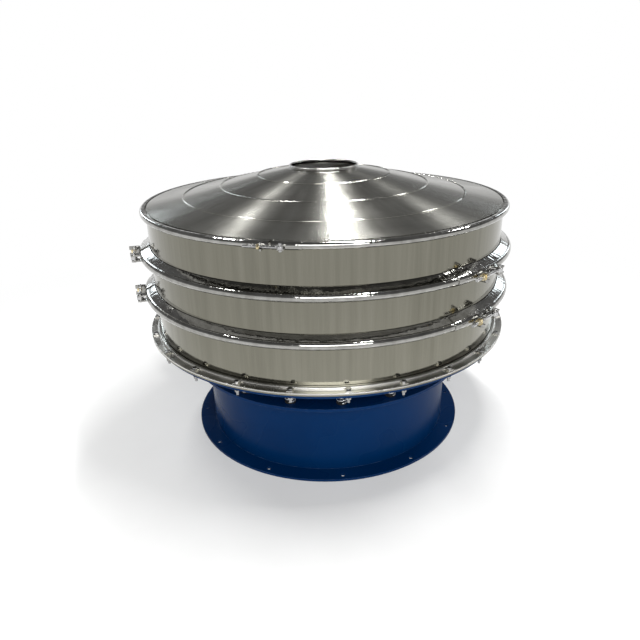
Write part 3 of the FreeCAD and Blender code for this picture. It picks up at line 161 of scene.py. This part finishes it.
def shell_steel():
    """Polished sheet: warm grey, with faint upright streaks in its colour, partly from rolling
    and polishing and partly painted reflection.
    """
    s = Shader("shell_steel", Metallic=1.0, Anisotropic=0.3)
    polish_and_reflection_streak = s.noise(s.round_coordinates(26, 0, 1.0), 1.0, 4)
    fine = s.noise(s.round_coordinates(420, 0, 9), 1.0, 2)
    # Upright streaks in the colour: partly polishing marks, partly painted reflection.
    tone = s.ramp(polish_and_reflection_streak, [(0.28, (0.184, 0.178, 0.143)), (0.52, (0.211, 0.204, 0.165)),
                           (0.78, (0.236, 0.228, 0.188))])
    s.link(s.mix(0.05, tone, s.ramp(fine, [(0.35, 0.10), (0.65, 0.36)])),
           s.bsdf.inputs["Base Color"])
    s.link(s.ramp(polish_and_reflection_streak, [(0.2, 0.08), (0.8, 0.15)]), s.bsdf.inputs["Roughness"])
    wave = s.noise(s.round_coordinates(6, 0, 4), 1.0, 1)
    s.link(s.bump(wave, 0.18, 0.003).outputs[0], s.bsdf.inputs["Normal"])
    s.hoop_tangent()
    return s.material


def band_steel():
    """Mirror-bright rolled section with drawing lines along it."""
    s = Shader("band_steel", Metallic=1.0, Anisotropic=0.4)
    line = s.noise(s.round_coordinates(3, 160, 160), 1.0, 2)
    spots = s.noise(s.place(), 26.0, 4)
    tone = s.ramp(spots, [(0.30, (0.27, 0.265, 0.245)), (0.62, (0.40, 0.395, 0.375))])
    s.link(s.mix(0.18, tone, s.ramp(line, [(0.4, 0.14), (0.6, 0.52)])),
           s.bsdf.inputs["Base Color"])
    s.link(s.ramp(spots, [(0.3, 0.05), (0.7, 0.12)]), s.bsdf.inputs["Roughness"])
    wave = s.noise(s.round_coordinates(24, 30, 30), 1.0, 2)
    s.soft_edges(0.0015, s.bump(wave, 0.55, 0.003))
    s.hoop_tangent()
    return s.material


def cover_steel():
    """Spun and brushed sheet: fine rings round the axis that spread highlights outwards."""
    s = Shader("cover_steel", Metallic=1.0, Anisotropic=0.9, Anisotropic_Rotation=0.25)
    ring = s.noise(s.round_coordinates(1.2, 700, 0), 1.0, 2)
    cloud = s.noise(s.round_coordinates(5, 7, 0), 1.0, 3)
    # Radial streaks made lighter in the colour: a painted fan of highlights.
    painted_fan_highlight = s.noise(s.round_coordinates(16, 1.5, 0), 1.0, 3)
    tone = s.ramp(cloud, [(0.25, (0.31, 0.305, 0.268)), (0.75, (0.39, 0.385, 0.345))])
    tone = s.mix(0.12, tone, s.ramp(painted_fan_highlight, [(0.36, 0.16), (0.62, 0.62)]))
    s.link(s.mix(0.06, tone, s.ramp(ring, [(0.4, 0.2), (0.6, 0.65)])),
           s.bsdf.inputs["Base Color"])
    s.link(s.ramp(cloud, [(0.3, 0.22), (0.7, 0.27)]), s.bsdf.inputs["Roughness"])
    s.link(s.bump(ring, 0.02, 0.0001).outputs[0], s.bsdf.inputs["Normal"])
    s.hoop_tangent()
    return s.material


def satin_steel():
    """Plain satin sheet with handling marks."""
    s = Shader("satin_steel", Metallic=1.0)
    line = s.noise(s.round_coordinates(4, 220, 220), 1.0, 3)
    cloud = s.noise(s.place(), 9.0, 5)
    tone = s.ramp(cloud, [(0.3, (0.43, 0.42, 0.39)), (0.7, (0.62, 0.61, 0.57))])
    s.link(s.mix(0.2, tone, s.ramp(line, [(0.4, 0.3), (0.6, 0.8)])), s.bsdf.inputs["Base Color"])
    s.link(s.ramp(cloud, [(0.3, 0.22), (0.7, 0.38)]), s.bsdf.inputs["Roughness"])
    s.soft_edges(0.0015, s.bump(line, 0.15, 0.0005))
    return s.material


def bright_steel(name="bright_steel", dark=0.34, light=0.66):
    """Drawn or turned steel of fasteners, springs and shafts."""
    s = Shader(name, Metallic=1.0)
    grain = s.noise(s.place(), 190.0, 3)
    cloud = s.noise(s.place(), 24.0, 3)
    tone = s.ramp(cloud, [(0.3, dark), (0.7, light)])
    s.link(s.mix(0.3, tone, s.ramp(grain, [(0.35, dark), (0.65, light)])),
           s.bsdf.inputs["Base Color"])
    s.link(s.ramp(grain, [(0.3, 0.16), (0.7, 0.32)]), s.bsdf.inputs["Roughness"])
    s.soft_edges(0.0008)
    return s.material


def yellow_zinc():
    """Yellow passivated zinc: a brassy coat that shifts in tone from face to face."""
    s = Shader("yellow_zinc", Metallic=1.0)
    cloud = s.noise(s.place(), 60.0, 4)
    tone = s.ramp(cloud, [(0.28, (0.42, 0.36, 0.22)), (0.5, (0.66, 0.56, 0.34)),
                          (0.72, (0.72, 0.66, 0.52))])
    s.link(tone, s.bsdf.inputs["Base Color"])
    s.link(s.ramp(cloud, [(0.3, 0.22), (0.7, 0.36)]), s.bsdf.inputs["Roughness"])
    s.soft_edges(0.0008)
    return s.material


def wire_cloth():
    """Woven screen cloth: two sets of wires over and under each other."""
    s = Shader("wire_cloth", Metallic=1.0)
    place = s.place()
    waves = [s.node("ShaderNodeTexWave", bands_direction=axis, wave_profile="SIN")
             for axis in ("X", "Y")]
    for wave in waves:
        s.link(place, wave.inputs["Vector"])
        wave.inputs["Scale"].default_value = 110.0
    weave = s.math("MAXIMUM", waves[0].outputs["Fac"], waves[1].outputs["Fac"])
    cloud = s.noise(place, 6.0, 4)
    # The colour is darker in the low gaps between the wires: painted shade.
    tone = s.mix(cloud, s.ramp(weave, [(0.35, 0.05), (0.9, 0.60)]),
                 s.ramp(weave, [(0.35, 0.08), (0.9, 0.46)]))
    s.link(tone, s.bsdf.inputs["Base Color"])
    s.bsdf.inputs["Roughness"].default_value = 0.35
    s.link(s.bump(weave, 0.5, 0.0008).outputs[0], s.bsdf.inputs["Normal"])
    return s.material


# ---------------------------------------------------------------- paint, rubber, plastic

def gloss_paint(name, deep, light, gloss=0.22):
    """Sprayed enamel with slight orange peel, cloudy depth and paler edges, which are painted
    edge highlights broken up in patches.
    """
    s = Shader(name, Specular_IOR_Level=0.07)
    cloud = s.noise(s.place(), 3.2, 2)
    peel = s.noise(s.place(), 95.0, 2)
    dust = s.noise(s.place(), 420.0, 2)
    tone = s.ramp(cloud, [(0.3, deep), (0.7, light)])
    pale = tuple(min(1, 2.0 * c + 0.02) for c in light)
    tone = s.mix(s.ramp(dust, [(0.74, 0.0), (0.84, 0.25)]), tone, (*pale, 1))
    # Edges made paler in the colour and broken up by patches: painted edge highlights.
    edge_highlight_colour = tuple(min(1, 1.6 * c + 0.10) for c in light)
    patch = s.ramp(s.noise(s.place(), 34.0, 3), [(0.42, 0.05), (0.66, 0.75)])
    painted_edge_highlight = s.mix(s.edges(0.0025, 0.02, 0.18), (0, 0, 0, 1), patch)
    tone = s.mix(painted_edge_highlight, tone, (*edge_highlight_colour, 1))
    s.link(tone, s.bsdf.inputs["Base Color"])
    s.link(s.ramp(cloud, [(0.3, gloss), (0.7, gloss + 0.12)]), s.bsdf.inputs["Roughness"])
    s.soft_edges(0.0025, s.bump(peel, 0.10, 0.0006))
    return s.material


def rubber(name, deep, light):
    s = Shader(name, Roughness=0.6)
    cloud = s.noise(s.place(), 45.0, 4)
    s.link(s.ramp(cloud, [(0.3, deep), (0.7, light)]), s.bsdf.inputs["Base Color"])
    s.soft_edges(0.001, s.bump(cloud, 0.2, 0.0006))
    return s.material


def laminations():
    """Stack of thin core sheets seen on edge."""
    s = Shader("core_laminations", Metallic=1.0, Roughness=0.4)
    sheets = s.noise(s.round_coordinates(0.5, 0, 900), 1.0, 1)
    s.link(s.ramp(sheets, [(0.4, (0.16, 0.14, 0.13)), (0.6, (0.42, 0.40, 0.38))]),
           s.bsdf.inputs["Base Color"])
    s.link(s.bump(sheets, 0.4, 0.0005).outputs[0], s.bsdf.inputs["Normal"])
    return s.material


# ---------------------------------------------------------------- materials onto the nodes

def dress():
    shell, band, cover, satin = shell_steel(), band_steel(), cover_steel(), satin_steel()
    bright, zinc, cloth = bright_steel(), yellow_zinc(), wire_cloth()
    turned = bright_steel("turned_steel", 0.3, 0.6)
    wire = bright_steel("spring_wire", 0.72, 0.94)
    screws = bright_steel("screw_steel", 0.22, 0.42)
    blue = gloss_paint("blue_enamel", (0.0002, 0.0215, 0.088), (0.0003, 0.0255, 0.102))
    motor = gloss_paint("motor_enamel", (0.010, 0.030, 0.075), (0.016, 0.048, 0.115), 0.35)
    black = rubber("black_rubber", (0.012, 0.012, 0.013), (0.035, 0.034, 0.034))
    white = rubber("white_silicone", (0.60, 0.59, 0.55), (0.78, 0.77, 0.73))
    plastic = rubber("gland_plastic", (0.02, 0.02, 0.02), (0.05, 0.05, 0.05))
    core = laminations()
    by_slot = {
        "stainless_mirror": shell, "stainless_satin": satin, "blue_paint": blue,
        "spring_steel": bright, "zinc_yellow": zinc, "seal_rubber": white,
        "seat_rubber": black, "wire_cloth": cloth, "motor_paint": motor, "core_steel": core,
        "machined_steel": turned, "gland_plastic": plastic,
    }
    special = {"cover_cone": cover, "inlet_collar": band, "cover_hoop": band,
               "support_springs": wire, "flange_bolts": screws, "flange_nuts": screws}
    for entry in frame["record"]["subparts"]:
        name = entry["node"]
        material = special.get(name, by_slot[entry["material_slot"]])
        if "_band_" in name and name != "band_hinge_pins":
            material = band
        mesh = NODES[name].data
        mesh.materials.clear()
        mesh.materials.append(material)


# ---------------------------------------------------------------- stage, light, camera

def stage():
    bpy.ops.mesh.primitive_circle_add(vertices=96, radius=40, fill_type="NGON")
    floor = bpy.context.object
    floor.name = "studio_floor"
    s = Shader("studio_floor", Roughness=0.9, Specular_IOR_Level=0.1)
    away = s.node("ShaderNodeVectorMath", operation="LENGTH")
    s.link(s.place(), away.inputs[0])
    grain = s.noise(s.place(), 3.0, 3)
    s.link(s.ramp(grain, [(0.3, (0.80, 0.80, 0.79)), (0.7, (0.84, 0.84, 0.83))]),
           s.bsdf.inputs["Base Color"])
    glow = s.node("ShaderNodeEmission")
    glow.inputs[0].default_value = (1, 1, 1, 1)
    fade = s.node("ShaderNodeMapRange")
    s.link(away.outputs["Value"], fade.inputs[0])
    for index, value in enumerate((0.8, 3.2, 0.3, 1.0), 1):
        fade.inputs[index].default_value = value
    blend = s.node("ShaderNodeMixShader")
    s.link(fade.outputs[0], blend.inputs[0])
    s.link(s.bsdf.outputs[0], blend.inputs[1])
    s.link(glow.outputs[0], blend.inputs[2])
    s.link(blend.outputs[0], s.tree.nodes["Material Output"].inputs[0])
    floor.data.materials.append(s.material)


def world():
    """Studio room: white at the horizon, greyer towards the ceiling."""
    room = bpy.data.worlds.new("studio_room")
    bpy.context.scene.world = room
    room.use_nodes = True
    tree = room.node_tree
    background = tree.nodes["Background"]
    where = tree.nodes.new("ShaderNodeTexCoord")
    split = tree.nodes.new("ShaderNodeSeparateXYZ")
    ramp = tree.nodes.new("ShaderNodeValToRGB")
    tree.links.new(where.outputs["Generated"], split.inputs[0])
    tree.links.new(split.outputs[2], ramp.inputs[0])
    tree.links.new(ramp.outputs[0], background.inputs[0])
    elements = ramp.color_ramp.elements
    stops = [(0.0, 1.0), (0.11, 1.0), (0.17, 0.30), (0.40, 0.17), (1.0, 0.12)]
    while len(elements) < len(stops):
        elements.new(0.5)
    for element, (place, level) in zip(elements, stops):
        element.position = place
        element.color = (level, level, level, 1)


def lamp(name, place, target, size, power, colour=(1, 1, 1)):
    data = bpy.data.lights.new(name, "AREA")
    data.shape = "RECTANGLE"
    data.size, data.size_y = size
    data.energy = power
    data.color = colour
    item = bpy.data.objects.new(name, data)
    bpy.context.scene.collection.objects.link(item)
    item.location = place
    aim = Vector(target) - Vector(place)
    item.rotation_euler = aim.to_track_quat("-Z", "Y").to_euler()
    item.visible_camera = False
    return item


def lights():
    lamp("key_lamp", (0.55, 0.2, 4.2), (0, 0, 0.9), (2.6, 0.22), 200)
    lamp("left_lamp", (-2.0, 0.8, 4.2), (0, 0, 0.9), (1.8, 0.2), 75)
    lamp("right_lamp", (2.7, 1.2, 3.6), (0, 0, 0.9), (1.6, 0.2), 50)
    lamp("left_window", (-3.4, 4.2, 2.6), (0, 0, 1.0), (0.6, 1.6), 22, (0.85, 0.94, 1))
    lamp("right_window", (3.6, 4.0, 2.4), (0, 0, 1.0), (0.5, 1.6), 14, (0.85, 0.94, 1))
    lamp("front_fill", (0.4, -5.0, 3.2), (0, 0, 0.4), (3.5, 2.0), 170)


def camera():
    data = bpy.data.cameras.new("camera")
    data.sensor_width = 36.0
    data.lens = 32.11
    data.shift_x = -0.0102
    item = bpy.data.objects.new("camera", data)
    bpy.context.scene.collection.objects.link(item)
    pitch = Matrix.Rotation(math.radians(67.02), 4, "X")
    roll = Matrix.Rotation(math.radians(-1.06), 4, "Z")
    item.matrix_world = Matrix.Translation((0.0, -2.483, 1.4946)) @ pitch @ roll
    bpy.context.scene.camera = item


# ---------------------------------------------------------------- put together

dress()
stage()
world()
lights()
camera()
bpy.context.scene.view_settings.view_transform = "Standard"
